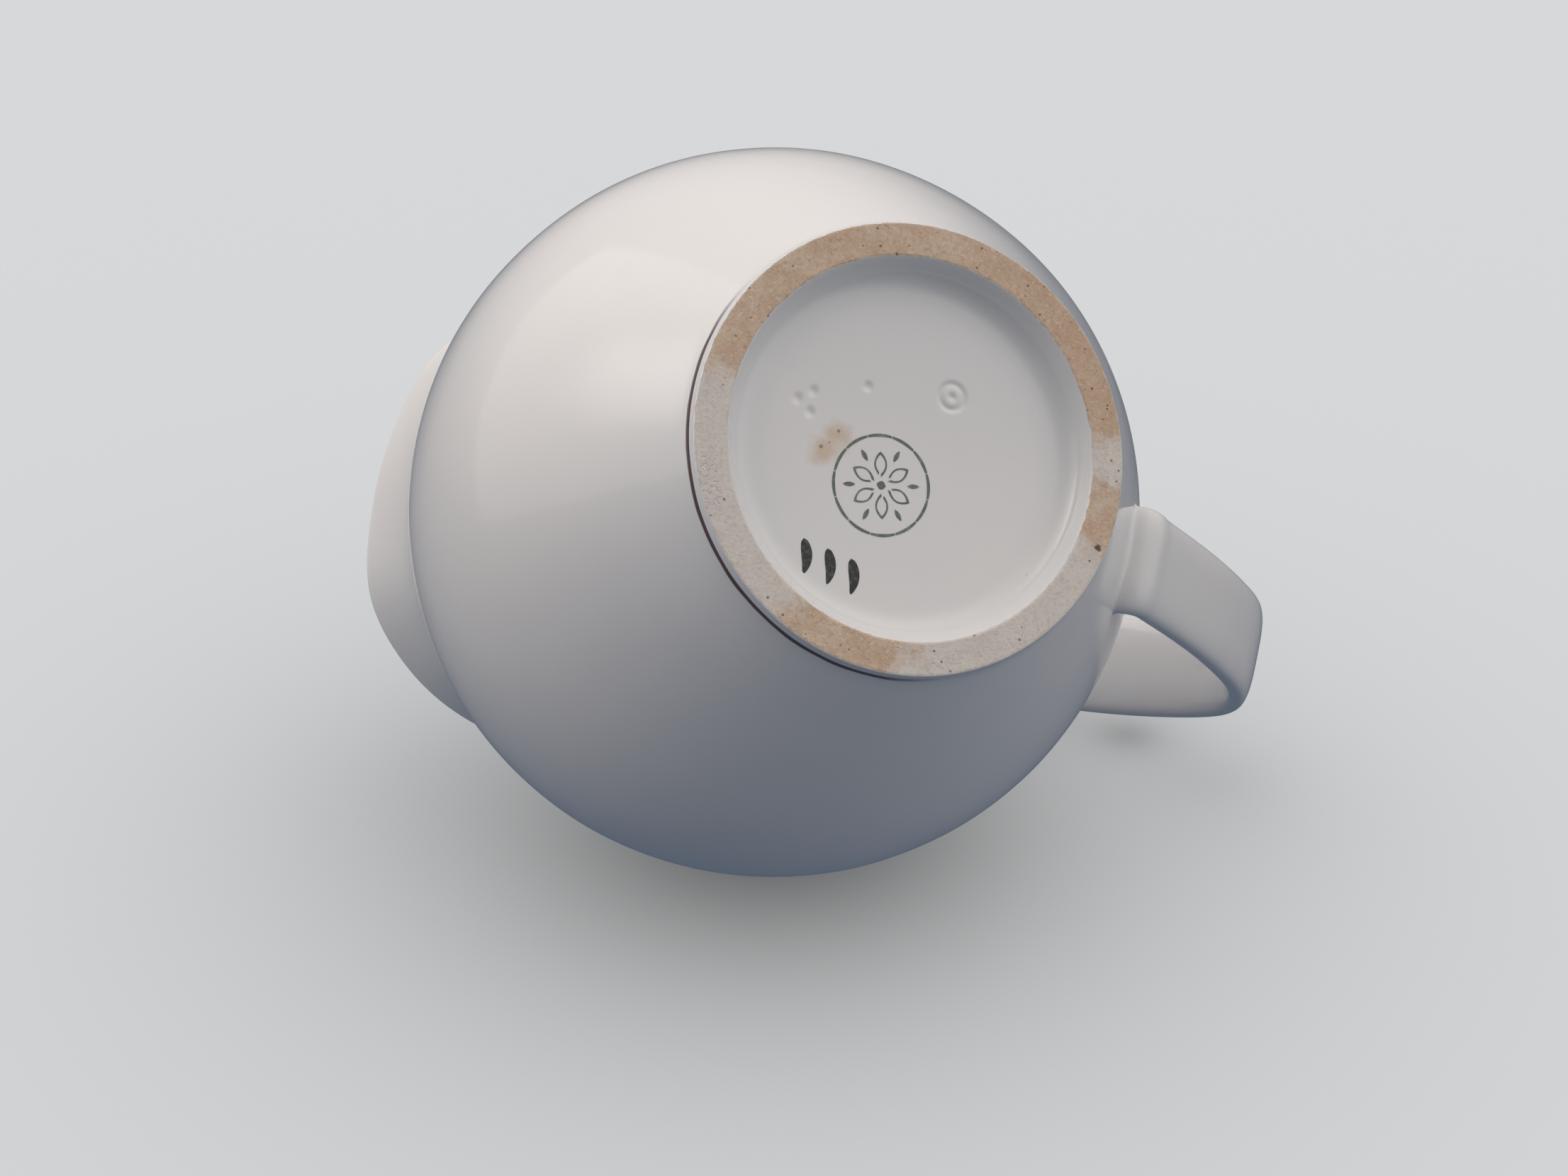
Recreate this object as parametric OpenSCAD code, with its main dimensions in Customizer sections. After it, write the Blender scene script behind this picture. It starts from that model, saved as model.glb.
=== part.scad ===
// Porcelain cream jug: a round body on a low foot ring, with a broad pouring lip
// pulled out of its rim and a flat strap handle luted on opposite the lip.
// The jug stands on z = 0, centred on its foot. The lip points to -X, the handle to +X.

/* [Body] */
// Largest radius of the round body
body_radius = 45; // [42:0.5:50]
// Height of the widest point above the table
belly_height = 48.3; // [46:0.1:52]
// Radius of the body where it meets the top of the foot ring
seat_radius = 25.4; // [25.2:0.1:25.8]
// Thickness of the body wall
wall = 2.8; // [2.2:0.1:3.4]
// Thickness of the body under its inside floor
base_thickness = 3; // [2.5:0.1:4]

/* [Rim and lip] */
// Height of the rim above the table
rim_height = 89; // [88:0.1:91]
// Radius of the rim at its back, by the handle
rim_back_radius = 28; // [27:0.5:30]
// Radius from the axis to the tip of the pouring lip
lip_reach = 44.3; // [42:0.1:46]
// Angle from the tip at which the lip has half its reach
lip_half_angle = 61; // [50:1:65]
// Thickness of the rounded rim
rim_thickness = 2.6; // [2.2:0.1:3]

/* [Foot ring] */
// Outer radius of the unglazed resting face
foot_radius = 24; // [23.5:0.1:24.5]
// Inner radius of the unglazed resting face
foot_inner_radius = 20.8; // [20.2:0.1:21.2]
// Height of the foot ring, which is also the depth of the recess inside it
foot_height = 3.2; // [3:0.1:3.6]

/* [Handle] */
// Width of the strap where it leaves the lower body
strap_low_width = 12.2; // [11:0.1:13]
// Width of the strap where it reaches the neck
strap_top_width = 15.4; // [14:0.1:16]
// Thickness of the strap
strap_thickness = 3.4; // [3:0.1:4]
// How far the slip at each end of the strap spreads past its edge
joint_spread = 1.8; // [1.5:0.1:2.2]

/* [Hidden] */

glaze_white = [0.92, 0.92, 0.91];
slip_white = [0.88, 0.88, 0.86];
biscuit_tan = [0.72, 0.62, 0.53];

// Body mesh: number of meridians, and of steps along each stretch of a meridian
meridians = 60;
stretch_steps = 9;
rim_steps = 5;

// Fullness of the lower body, as shares of its height, and how much it spreads as it leaves the foot
low_side_pull = 0.312;
low_foot_pull = 0.5;
low_foot_slope = 0.7;

// The inside wall runs parallel to the outside down to its turn, as [radius, height],
// and from there rounds into the inside floor
inside_turn = [28.5, 13];
inside_side_pull = 0.34;
inside_turn_pull = 0.4;
inside_heel_pull = 0.9;
inside_floor_share = 0.75;
inside_steps = 8;

// Where the neck leaves the round body, and how the rim leans outward, in degrees
neck_back_latitude = 47;
neck_front_latitude = 20;
rim_back_lean = 12;
rim_front_lean = 27;
neck_curve_share = 0.36;

// The lip is fullest a little to each side of its tip
corner_angle = 23;
corner_width = 10;
corner_swell = 0.045;

// Handle: the middle of the strap, as [distance from the axis, height]
strap_route = [[38, 17.2], [46.3, 23.1], [54.9, 30.4], [64, 40.5], [69, 54], [63.5, 70], [54, 80.5], [43, 84.5], [33, 84]];
strap_steps = 7;
strap_sides = 24;
strap_squareness = 3.2;
joint_depth = 2.5;
joint_pull = 3;
joint_rings = 8;
lower_root_height = 16.8;
upper_joint_length = 8;

// Half the width of the flat facet at the centre of the inside floor
centre_gap = 0.02;

inner_radius = body_radius - wall;
floor_height = foot_height + base_thickness;
strap_last = len(strap_route) - 1;

// ---- General curves ----

function bezier(a, b, c, d, t) =
    pow(1 - t, 3) * a + 3 * t * pow(1 - t, 2) * b + 3 * t * t * (1 - t) * c + pow(t, 3) * d;

function bezier_run(a, b, c, d, steps, first = 0) =
    [for (i = [first:steps]) bezier(a, b, c, d, i / steps)];

function heading(angle) = [sin(angle), cos(angle)];

// ---- Outline of the rim, by angle from the tip of the lip ----

function lip_share(angle) =
    1 / (1 + pow(angle / lip_half_angle, 4))
    + corner_swell * exp(-pow((angle - corner_angle) / corner_width, 2));

function rim_radius(angle) =
    rim_back_radius + (lip_reach - rim_back_radius) * lip_share(angle);

function neck_latitude(angle) =
    neck_back_latitude + (neck_front_latitude - neck_back_latitude) * lip_share(angle);

function rim_lean(angle) =
    rim_back_lean + (rim_front_lean - rim_back_lean) * lip_share(angle);

// ---- One meridian of the body, as [radius, height] points ----

// From the foot ring up to the widest point
function lower_side() =
    let (drop = belly_height - foot_height)
    let (foot = [seat_radius, foot_height])
    bezier_run(
        foot,
        foot + low_foot_pull * drop * [low_foot_slope, 1],
        [body_radius, belly_height - low_side_pull * drop],
        [body_radius, belly_height],
        stretch_steps);

// Round shoulder from the widest point to where the neck leaves it
function shoulder(radius, latitude) =
    [for (i = [1:stretch_steps])
        let (a = latitude * i / stretch_steps)
        [radius * cos(a), belly_height + radius * sin(a)]];

// Hollow curve of the neck from the shoulder to the rim
function neck(radius, latitude, rim, lean) =
    let (start = [radius * cos(latitude), belly_height + radius * sin(latitude)])
    let (pull = neck_curve_share * norm(rim - start))
    bezier_run(start, start + pull * heading(-latitude), rim - pull * heading(lean), rim, stretch_steps, 1);

// Half-round top of the rim, from its outer edge to its inner edge
function rim_round(outer, inner) =
    let (middle = (outer + inner) / 2)
    [for (i = [1:rim_steps - 1])
        let (a = 180 * i / rim_steps)
        middle + (outer - middle) * cos(a) + [0, rim_thickness / 2 * sin(a)]];

// Inside wall, from the widest point down to its turn and across the inside floor
function inside_low() =
    let (drop = belly_height - inside_turn[1])
    let (heel = inside_turn[1] - floor_height)
    let (slope = [low_foot_slope, 1])
    concat(
        bezier_run(
            [inner_radius, belly_height],
            [inner_radius, belly_height - inside_side_pull * drop],
            inside_turn + inside_turn_pull * drop * slope,
            inside_turn,
            inside_steps, 1),
        bezier_run(
            inside_turn,
            inside_turn - inside_heel_pull * heel * slope,
            [inside_floor_share * inside_turn[0], floor_height],
            [centre_gap, floor_height],
            inside_steps, 1));

function reversed(list) = [for (i = [len(list) - 1:-1:0]) list[i]];

function outer_meridian(angle) =
    let (edge = [rim_radius(angle), rim_height - rim_thickness / 2])
    concat(
        lower_side(),
        shoulder(body_radius, neck_latitude(angle)),
        neck(body_radius, neck_latitude(angle), edge, rim_lean(angle)));

function inner_meridian(angle) =
    let (edge = [rim_radius(angle) - rim_thickness, rim_height - rim_thickness / 2])
    concat(
        reversed(neck(inner_radius, neck_latitude(angle), edge, rim_lean(angle))),
        reversed(shoulder(inner_radius, neck_latitude(angle))),
        [[inner_radius, belly_height]],
        inside_low());

function shell_meridian(angle) =
    let (outer = outer_meridian(angle))
    let (inner = inner_meridian(angle))
    concat(outer, rim_round(outer[len(outer) - 1], inner[0]), inner);

// Angle from the tip of the lip, for a direction measured from +X
function lip_angle(direction) = abs(direction - 180);

// Solid bounded by meridians and closed by a flat face at its first and last rings
module lathe_shape(lines) {
    rows = len(lines[0]);
    count = len(lines);
    points = [for (m = [0:count - 1]) for (p = lines[m])
        let (direction = 360 * m / count)
        [p[0] * cos(direction), p[0] * sin(direction), p[1]]];
    sides = [for (m = [0:count - 1]) for (k = [0:rows - 2])
        let (n = (m + 1) % count)
        [m * rows + k, m * rows + k + 1, n * rows + k + 1, n * rows + k]];
    first_face = [for (m = [0:count - 1]) m * rows];
    last_face = [for (m = [count - 1:-1:0]) m * rows + rows - 1];
    polyhedron(points, concat(sides, [first_face, last_face]), convexity = 6);
}

// ---- Handle ----

// Smooth curve through the route's points
function through(p0, p1, p2, p3, t) =
    0.5 * (2 * p1 + (p2 - p0) * t + (2 * p0 - 5 * p1 + 4 * p2 - p3) * t * t
    + (3 * p1 - p0 - 3 * p2 + p3) * pow(t, 3));

function route_point(s) =
    let (k = min(floor(s), strap_last - 1))
    let (before = k > 0 ? strap_route[k - 1] : 2 * strap_route[0] - strap_route[1])
    let (after = k < strap_last - 1
        ? strap_route[k + 2]
        : 2 * strap_route[strap_last] - strap_route[strap_last - 1])
    through(before, strap_route[k], strap_route[k + 1], after, s - k);

function route_heading(s) =
    let (nudge = 0.01)
    let (ahead = route_point(min(s + nudge, strap_last)) - route_point(max(s - nudge, 0)))
    ahead / norm(ahead);

function strap_width(s) =
    strap_low_width + (strap_top_width - strap_low_width) * s / strap_last;

function signed_power(value, power) = sign(value) * pow(abs(value), power);

// Cross-section of the strap: flat faces with fully rounded edges, as [across, outward]
function strap_section(width, thickness) =
    [for (i = [0:strap_sides - 1])
        let (a = 360 * i / strap_sides)
        [width / 2 * signed_power(cos(a), 2 / strap_squareness),
         thickness / 2 * signed_power(sin(a), 2 / strap_squareness)]];

// Places a cross-section at a point of the route, square to its heading
function placed(section, point, ahead) =
    [for (p = section) [point[0] + ahead[1] * p[1], p[0], point[1] - ahead[0] * p[1]]];

module skin(rings) {
    count = len(rings[0]);
    points = [for (r = rings) for (p = r) p];
    sides = [for (k = [0:len(rings) - 2]) for (i = [0:count - 1])
        let (n = (i + 1) % count)
        [k * count + i, k * count + n, (k + 1) * count + n, (k + 1) * count + i]];
    first_face = [for (i = [count - 1:-1:0]) i];
    last_face = [for (i = [0:count - 1]) (len(rings) - 1) * count + i];
    polyhedron(points, concat(sides, [first_face, last_face]), convexity = 6);
}

// Outside radius of the lower body at a height
function side_radius(height) = lookup(height, [for (p = lower_side()) [p[1], p[0]]]);

// Direction square to the lower body, pointing into it
function side_inward(height) =
    let (n = [-2, side_radius(height + 1) - side_radius(height - 1)])
    n / norm(n);

// Slip that joins one end of the strap to the body. It turns to meet the body squarely
// and spreads as it nears it.
module slip_collar(start, ahead, root, inward, width) {
    steps = [for (k = [0:joint_rings]) k / joint_rings];
    bends = [start + joint_pull * ahead, root - joint_pull * inward];
    nudge = 0.001;
    rings = [for (t = steps)
        let (before = bezier(start, bends[0], bends[1], root, t - nudge))
        let (after = bezier(start, bends[0], bends[1], root, t + nudge))
        let (spread = 2 * joint_spread * t * t)
        placed(strap_section(width + spread, strap_thickness + spread),
            bezier(start, bends[0], bends[1], root, t), (after - before) / norm(after - before))];
    difference() {
        skin(rings);
        body_envelope();
    }
}

// Outside of the body without its hollow
module body_envelope() {
    lathe_shape([for (m = [0:meridians - 1]) outer_meridian(lip_angle(360 * m / meridians))]);
}

// ---- Sub-parts ----

module body() {
    color(glaze_white)
        lathe_shape([for (m = [0:meridians - 1]) shell_meridian(lip_angle(360 * m / meridians))]);
}

module foot_ring() {
    color(biscuit_tan)
        rotate_extrude($fn = 144)
            polygon([
                [foot_inner_radius, 0],
                [foot_radius, 0],
                [foot_radius + 0.25, 0.3],
                [foot_radius + 0.35, foot_height - 2.1],
                [foot_radius + 0.45, foot_height - 1.65],
                [foot_radius + 0.65, foot_height - 1.25],
                [seat_radius, foot_height],
                [foot_inner_radius - 3.4, foot_height],
                [foot_inner_radius - 2.2, foot_height - 0.5],
                [foot_inner_radius - 1.1, foot_height - 1.5],
                [foot_inner_radius - 0.4, 0.5]]);
}

// The strap stops short of the body at each end, where its joint takes over
module handle() {
    steps = strap_last * strap_steps;
    color(glaze_white)
        skin([for (i = [0:steps])
            let (s = i / strap_steps)
            placed(strap_section(strap_width(s), strap_thickness), route_point(s), route_heading(s))]);
}

module handle_lower_joint() {
    color(slip_white)
        slip_collar(
            route_point(0), -route_heading(0),
            [side_radius(lower_root_height), lower_root_height] + joint_depth * side_inward(lower_root_height),
            side_inward(lower_root_height), strap_width(0));
}

module handle_upper_joint() {
    color(slip_white)
        slip_collar(
            route_point(strap_last), route_heading(strap_last),
            route_point(strap_last) + upper_joint_length * route_heading(strap_last),
            route_heading(strap_last), strap_width(strap_last));
}

body();
foot_ring();
handle();
handle_lower_joint();
handle_upper_joint();
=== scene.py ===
"""Looks of the porcelain cream jug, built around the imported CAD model.

The jug stands on z = 0 with its lip towards -X and its handle towards +X.
Lengths in this script are in millimetres until a mesh is made.
"""

import math

import bmesh
import bpy
import numpy as np
from mathutils import Matrix, Vector
from mathutils.bvhtree import BVHTree


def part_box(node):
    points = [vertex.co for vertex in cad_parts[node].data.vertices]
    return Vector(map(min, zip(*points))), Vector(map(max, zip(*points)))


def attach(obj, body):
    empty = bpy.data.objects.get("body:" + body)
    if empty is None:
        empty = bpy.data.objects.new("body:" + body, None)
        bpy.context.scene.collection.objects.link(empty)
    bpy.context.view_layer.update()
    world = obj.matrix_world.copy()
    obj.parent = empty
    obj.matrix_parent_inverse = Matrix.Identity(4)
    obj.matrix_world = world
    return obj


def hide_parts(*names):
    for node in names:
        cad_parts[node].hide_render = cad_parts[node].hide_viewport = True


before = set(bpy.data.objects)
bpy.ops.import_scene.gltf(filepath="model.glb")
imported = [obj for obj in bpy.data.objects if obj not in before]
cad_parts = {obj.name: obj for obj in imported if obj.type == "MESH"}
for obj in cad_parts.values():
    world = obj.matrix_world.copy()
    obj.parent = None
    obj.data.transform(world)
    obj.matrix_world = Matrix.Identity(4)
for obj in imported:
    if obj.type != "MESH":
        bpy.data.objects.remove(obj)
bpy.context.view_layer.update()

MM = 0.001

# ---------------------------------------------------------------- sizes from the frame

_, body_high = (np.array(corner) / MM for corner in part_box("body"))
_, ring_high = (np.array(corner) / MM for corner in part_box("foot_ring"))

BODY_RADIUS = body_high[1]
RIM_HEIGHT = body_high[2] + 0.06  # the CAD rim is a coarse half-round, so its crown is a little low
FOOT_HEIGHT = ring_high[2]
SEAT_RADIUS = ring_high[0]

# ---------------------------------------------------------------- sizes listed

BELLY_HEIGHT = 48.3
WALL = 2.8
FLOOR_HEIGHT = FOOT_HEIGHT + 3
INNER_RADIUS = BODY_RADIUS - WALL

RIM_BACK_RADIUS = 28
LIP_REACH = 44.3
LIP_HALF_ANGLE = 61
RIM_THICKNESS = 2.6
CORNER_ANGLE, CORNER_WIDTH, CORNER_SWELL = 23, 10, 0.045
NECK_BACK_LATITUDE, NECK_FRONT_LATITUDE = 47, 20
RIM_BACK_LEAN, RIM_FRONT_LEAN = 12, 27
NECK_CURVE_SHARE = 0.36
LOW_SIDE_PULL, LOW_FOOT_PULL, LOW_FOOT_SLOPE = 0.312, 0.5, 0.7
INSIDE_TURN = np.array([28.5, 13])
INSIDE_SIDE_PULL, INSIDE_TURN_PULL = 0.34, 0.4
INSIDE_HEEL_PULL, INSIDE_FLOOR_SHARE = 0.9, 0.75

FOOT_RADIUS = 24
FOOT_INNER_RADIUS = 20.8
RECESS_RADIUS = FOOT_INNER_RADIUS - 3.4

# The strap's middle line from its root to the neck, as [distance from the axis, height]
STRAP_ROUTE = [(38, 17.2), (46.3, 23.1), (54.9, 30.4), (64, 40.5), (69, 54)]
STRAP_ROUTE += [(63.5, 70), (54, 80.5), (43, 84.5), (33, 84)]
STRAP_LOW_WIDTH, STRAP_TOP_WIDTH, STRAP_TAPER = 12.2, 15.4, 1.6
STRAP_THICKNESS = 3.4
STRAP_SQUARENESS = 3.2

# A slip joint goes on straight for its lead and bends between its two pulls. It grows by its spread on each
# side, up to the share of its length called full, and runs out on the body over its reach
LOWER_JOINT = {"lead": 1.2, "pulls": (2.9, 1.2), "spread": 0.3, "full": 0.6, "reach": 0.6}
UPPER_JOINT = {"lead": 0.5, "pulls": (2.6, 2.6), "spread": 1.2, "full": 1.0, "reach": 1.4}
LOWER_ROOT_HEIGHT, LOWER_ROOT_DEPTH = 16.7, 2.5
UPPER_JOINT_LENGTH = 8
LANDING_DEPTH = 0.03

# How finely the meshes are divided
MERIDIANS, RING_MERIDIANS, STRAP_RINGS = 250, 480, 160
RECESS_ROWS, SIDE_ROWS, RIM_ROWS = 110, 130, 12
RELAX_ROUNDS = 24

# ---------------------------------------------------------------- curves


def bezier(a, b, c, d, count):
    """Points along a cubic curve; a, b, c and d are [radius, height]."""
    a, b, c, d = (np.array(p, float) for p in (a, b, c, d))
    t = np.linspace(0, 1, count)[:, None]
    return (1 - t) ** 3 * a + 3 * t * (1 - t) ** 2 * b + 3 * t * t * (1 - t) * c + t**3 * d


def resampled(points, count):
    """The same line with evenly spaced points."""
    steps = np.linalg.norm(np.diff(points, axis=0), axis=1)
    along = np.concatenate([[0], np.cumsum(steps)])
    even = np.linspace(0, along[-1], count)
    return np.stack([np.interp(even, along, points[:, k]) for k in range(points.shape[1])], axis=1)


def relaxed(points, rounds, hold=6):
    """Evens out sudden changes of curvature; the first and last points keep their place and heading."""
    points = points.copy()
    index = np.arange(len(points))
    ends = np.minimum(index, len(points) - 1 - index)
    free = np.clip((ends - 1) / hold, 0, 1)[:, None]
    for _ in range(rounds):
        middle = np.zeros_like(points)
        middle[1:-1] = (points[:-2] + points[2:]) / 2 - points[1:-1]
        points += 0.5 * free * middle
    return points


def settling_path(start, way, root, inward, pulls, count):
    """From start along way to root along inward. It leaves and arrives straight, so no crease shows."""
    leaving, arriving = pulls[0] * way, pulls[1] * inward
    corners = [start, start + leaving / 2, start + leaving, root - arriving, root - arriving / 2, root]
    t = np.linspace(0, 1, count)[:, None]
    degree = len(corners) - 1
    weights = [math.comb(degree, k) * t**k * (1 - t) ** (degree - k) for k in range(degree + 1)]
    return sum(weight * corner for weight, corner in zip(weights, corners))


def firm_ends(rows):
    """Adds a row close to each end, so that the shading there follows the heading of the end itself."""
    first = rows[0] + 0.03 * (rows[1] - rows[0])
    last = rows[-1] + 0.03 * (rows[-2] - rows[-1])
    return [rows[0], first, *rows[1:-1], last, rows[-1]]


def lean(angle):
    return np.array([math.sin(math.radians(angle)), math.cos(math.radians(angle))])


def smoothstep(low, high, value):
    t = np.clip((value - low) / (high - low), 0, 1)
    return t * t * (3 - 2 * t)


# ---------------------------------------------------------------- the body's outline


def lip_share(angle):
    """How far the rim is pulled out, by angle in degrees from the tip of the lip."""
    broad = 1 / (1 + (angle / LIP_HALF_ANGLE) ** 4)
    return broad + CORNER_SWELL * math.exp(-(((angle - CORNER_ANGLE) / CORNER_WIDTH) ** 2))


def between(back, front, angle):
    return back + (front - back) * lip_share(angle)


def neck_start(radius, angle):
    latitude = math.radians(between(NECK_BACK_LATITUDE, NECK_FRONT_LATITUDE, angle))
    return latitude, np.array([radius * math.cos(latitude), BELLY_HEIGHT + radius * math.sin(latitude)])


def upper_side(radius, rim, angle):
    """From the widest point over the shoulder and up the neck to the rim."""
    latitude, start = neck_start(radius, angle)
    turn = np.linspace(0, latitude, 60)
    shoulder = np.stack([radius * np.cos(turn), BELLY_HEIGHT + radius * np.sin(turn)], axis=1)
    pull = NECK_CURVE_SHARE * np.linalg.norm(rim - start)
    outward = lean(between(RIM_BACK_LEAN, RIM_FRONT_LEAN, angle))
    neck = bezier(start, start + pull * lean(-math.degrees(latitude)), rim - pull * outward, rim, 60)
    return np.concatenate([shoulder, neck[1:]])


def rim_edge(angle):
    """The outer edge of the rim, where its half-round top begins."""
    return np.array([between(RIM_BACK_RADIUS, LIP_REACH, angle), RIM_HEIGHT - RIM_THICKNESS / 2])


def outer_side(angle):
    """The outside of the wall, from the foot's seat to the rim."""
    drop = BELLY_HEIGHT - FOOT_HEIGHT
    foot = np.array([SEAT_RADIUS, FOOT_HEIGHT])
    lower = bezier(
        foot,
        foot + LOW_FOOT_PULL * drop * np.array([LOW_FOOT_SLOPE, 1]),
        [BODY_RADIUS, BELLY_HEIGHT - LOW_SIDE_PULL * drop],
        [BODY_RADIUS, BELLY_HEIGHT],
        80,
    )
    whole = np.concatenate([lower, upper_side(BODY_RADIUS, rim_edge(angle), angle)[1:]])
    return np.array(firm_ends(relaxed(resampled(whole, SIDE_ROWS), RELAX_ROUNDS)))


def inner_side(angle):
    """The inside of the wall, from the rim down to the middle of the floor."""
    drop = BELLY_HEIGHT - INSIDE_TURN[1]
    heel = INSIDE_TURN[1] - FLOOR_HEIGHT
    slope = np.array([LOW_FOOT_SLOPE, 1])
    edge = rim_edge(angle) - [RIM_THICKNESS, 0]
    side = bezier(
        [INNER_RADIUS, BELLY_HEIGHT],
        [INNER_RADIUS, BELLY_HEIGHT - INSIDE_SIDE_PULL * drop],
        INSIDE_TURN + INSIDE_TURN_PULL * drop * slope,
        INSIDE_TURN,
        60,
    )
    floor = bezier(
        INSIDE_TURN,
        INSIDE_TURN - INSIDE_HEEL_PULL * heel * slope,
        [INSIDE_FLOOR_SHARE * INSIDE_TURN[0], FLOOR_HEIGHT],
        [0, FLOOR_HEIGHT],
        60,
    )
    whole = np.concatenate([upper_side(INNER_RADIUS, edge, angle)[::-1], side[1:], floor[1:]])
    return relaxed(resampled(whole, SIDE_ROWS), RELAX_ROUNDS)


def rim_round(outer, inner):
    """The half-round top of the rim."""
    middle = (outer + inner) / 2
    turn = np.linspace(0, math.pi, RIM_ROWS + 1)[1:-1, None]
    crown = RIM_THICKNESS / 2 * np.sin(turn) * np.array([[0, 1]])
    return middle + (outer - middle) * np.cos(turn) + crown


def recess_floor(radius):
    """Height of the underside inside the foot ring: it sags a little towards its middle."""
    sag = 0.22 * (1 - smoothstep(0, RECESS_RADIUS, radius))
    return FOOT_HEIGHT + sag


def body_meridian(angle):
    """One closed run: underside from its centre outward, outside, rim, inside, inside floor."""
    recess = np.linspace(0, RECESS_RADIUS, RECESS_ROWS)
    underside = np.stack([recess, recess_floor(recess)], axis=1)
    seat = np.array([[(RECESS_RADIUS + SEAT_RADIUS) / 2, FOOT_HEIGHT]])
    outer = outer_side(angle)
    inner = inner_side(angle)
    return np.concatenate([underside, seat, outer, rim_round(outer[-1], inner[0]), inner])


# ---------------------------------------------------------------- meshes


def mesh_object(name, vertices, faces):
    """A closed mesh with its faces turned outward. Faces with more than four corners are flat end caps."""
    mesh = bpy.data.meshes.new(name)
    mesh.from_pydata((np.asarray(vertices) * MM).tolist(), [], faces)
    shell = bmesh.new()
    shell.from_mesh(mesh)
    bmesh.ops.recalc_face_normals(shell, faces=shell.faces)
    shell.to_mesh(mesh)
    shell.free()
    mesh.polygons.foreach_set("use_smooth", [len(p.vertices) < 5 for p in mesh.polygons])
    piece = bpy.data.objects.new(name, mesh)
    bpy.context.scene.collection.objects.link(piece)
    return piece


def strip(first, second, count):
    """Faces between two rings of vertices that start at the given indices."""
    return [
        (first + i, first + (i + 1) % count, second + (i + 1) % count, second + i) for i in range(count)
    ]


def ring_mesh(rings, capped=True):
    """Vertices and faces of a skin over a list of rings, with or without a cap at each end."""
    count = len(rings[0])
    last = (len(rings) - 1) * count
    faces = []
    for k in range(len(rings) - 1):
        faces += strip(k * count, (k + 1) * count, count)
    if capped:
        faces += [tuple(range(count))[::-1], tuple(range(last, last + count))]
    return np.concatenate(rings), faces


def pole_fan(vertices, faces, ring_start, count, point):
    """Closes a ring with triangles that meet at one point."""
    pole = len(vertices)
    faces += [(ring_start + i, ring_start + (i + 1) % count, pole) for i in range(count)]
    return np.concatenate([vertices, [point]]), faces


def hand_wobble(vertices):
    """The slow unevenness of a hand-finished wall, a few hundredths of a millimetre."""
    x, y, z = vertices.T
    return (
        0.030 * np.sin(x / 7.1 + 0.8) * np.cos(z / 8.3 + 0.3)
        + 0.022 * np.sin(y / 5.9 + z / 11.0 + 1.9)
        + 0.012 * np.sin(x / 3.7 - y / 4.4 + 0.5)
    )


# Plain marks pressed into the clay under the foot: a ring with a dot, a triangle's corners and one more dot
PRESSED_DEPTH = 0.2
PRESSED_RING = np.array([3.9, -7.6])
PRESSED_DOTS = np.array([[-11.4, -3.3], [-12.9, -2.0], [-11.2, -1.0], [-5.6, -5.7]])


def pressed_marks(plan):
    """How far the marks go into the underside at points [x, y]. Their edges are softened by the glaze."""
    away = np.linalg.norm(plan - PRESSED_RING, axis=1)
    marks = smoothstep(0.85, 1.45, away) * (1 - smoothstep(1.35, 1.95, away))
    marks = np.maximum(marks, 1 - smoothstep(0.1, 0.6, away))
    for dot in PRESSED_DOTS:
        marks = np.maximum(marks, 1 - smoothstep(0.15, 0.75, np.linalg.norm(plan - dot, axis=1)))
    return PRESSED_DEPTH * marks


def make_body():
    directions = np.arange(MERIDIANS) * 2 * math.pi / MERIDIANS
    lines = [body_meridian(abs(math.degrees(d) - 180)) for d in directions]
    rows = len(lines[0])
    rings = []
    for k in range(rows):
        radius = np.array([line[k, 0] for line in lines])
        height = np.array([line[k, 1] for line in lines])
        rings.append(np.stack([radius * np.cos(directions), radius * np.sin(directions), height], axis=1))
    first, last = rings[0].mean(axis=0), rings[-1].mean(axis=0)
    vertices, faces = ring_mesh(rings[1:-1], capped=False)
    vertices, faces = pole_fan(vertices, faces, 0, MERIDIANS, first)
    vertices, faces = pole_fan(vertices, faces, (rows - 3) * MERIDIANS, MERIDIANS, last)
    away = vertices - np.array([0, 0, BELLY_HEIGHT])
    away /= np.linalg.norm(away, axis=1)[:, None]
    fade = smoothstep(FOOT_HEIGHT + 1, FOOT_HEIGHT + 8, vertices[:, 2])
    vertices = vertices - away * (np.abs(hand_wobble(vertices)) * fade)[:, None]
    under = vertices[:, 2] < FOOT_HEIGHT + 0.5
    under &= np.linalg.norm(vertices[:, :2], axis=1) < RECESS_RADIUS
    vertices[under, 2] += pressed_marks(vertices[under, :2])
    return mesh_object("porcelain_body", vertices, faces)


# ---------------------------------------------------------------- the handle


def through(points, count):
    """A smooth curve through points, by Catmull-Rom stretches."""
    p = np.array(points, float)
    p = np.concatenate([[2 * p[0] - p[1]], p, [2 * p[-1] - p[-2]]])
    run = []
    for k in range(1, len(p) - 2):
        t = np.linspace(0, 1, 40, endpoint=False)[:, None]
        a, b, c, d = p[k - 1], p[k], p[k + 1], p[k + 2]
        slope, bend, twist = c - a, 2 * a - 5 * b + 4 * c - d, 3 * b - a - 3 * c + d
        run.append(0.5 * (2 * b + slope * t + bend * t**2 + twist * t**3))
    run.append(p[-2][None])
    return resampled(np.concatenate(run), count)


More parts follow.
